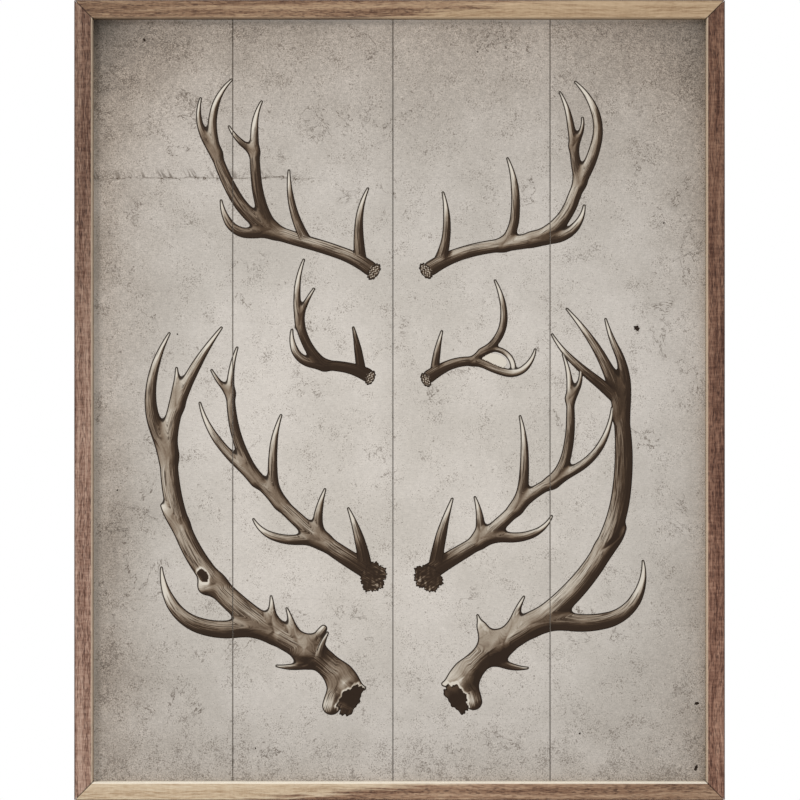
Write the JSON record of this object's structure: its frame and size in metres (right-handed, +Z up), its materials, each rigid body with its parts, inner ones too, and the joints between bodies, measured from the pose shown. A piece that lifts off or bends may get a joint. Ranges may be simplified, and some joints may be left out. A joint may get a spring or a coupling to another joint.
{
  "type": "framed wall print",
  "caption": "Upright rectangular wall print: vertical boards with a vintage-style drawing of antlers, set back in a thin mitred walnut frame with a hanger behind.",
  "frame": {"origin": "the hanger's middle notch, where the wall nail bears, on the plane of the wall", "axes": "+X to the right of a person facing the print, +Y into the wall, +Z up; the print faces -Y"},
  "size_m": [0.4318, 0.0405, 0.5314],
  "materials": {
    "walnut": "open-grained walnut with paler sapwood, matte oil",
    "printed_board": "matte print of aged grey-beige parchment with sepia ink",
    "pine": "bare planed pine",
    "zinc_steel": "dull zinc plate",
    "rubber": "matte"
  },
  "bodies": {
    "root": {"rail_left": "walnut", "rail_right": "walnut", "rail_top": "walnut", "rail_bottom": "walnut", "board_far_left": "printed_board", "board_mid_left": "printed_board", "board_mid_right": "printed_board", "board_far_right": "printed_board", "batten_upper": "pine", "batten_lower": "pine", "board_screw_upper_1": "zinc_steel", "board_screw_upper_2": "zinc_steel", "board_screw_upper_3": "zinc_steel", "board_screw_upper_4": "zinc_steel", "board_screw_lower_1": "zinc_steel", "board_screw_lower_2": "zinc_steel", "board_screw_lower_3": "zinc_steel", "board_screw_lower_4": "zinc_steel", "rail_nail_left_upper_high": "zinc_steel", "rail_nail_left_upper_low": "zinc_steel", "rail_nail_left_lower_high": "zinc_steel", "rail_nail_left_lower_low": "zinc_steel", "rail_nail_right_upper_high": "zinc_steel", "rail_nail_right_upper_low": "zinc_steel", "rail_nail_right_lower_high": "zinc_steel", "rail_nail_right_lower_low": "zinc_steel", "corner_wedge_top_left": "zinc_steel", "corner_wedge_top_right": "zinc_steel", "corner_wedge_bottom_left": "zinc_steel", "corner_wedge_bottom_right": "zinc_steel", "hanger_nail_left": "zinc_steel", "hanger_nail_right": "zinc_steel", "hanger_plate": "zinc_steel", "bumper_left": "rubber", "bumper_right": "rubber"}
  },
  "joints": []
}
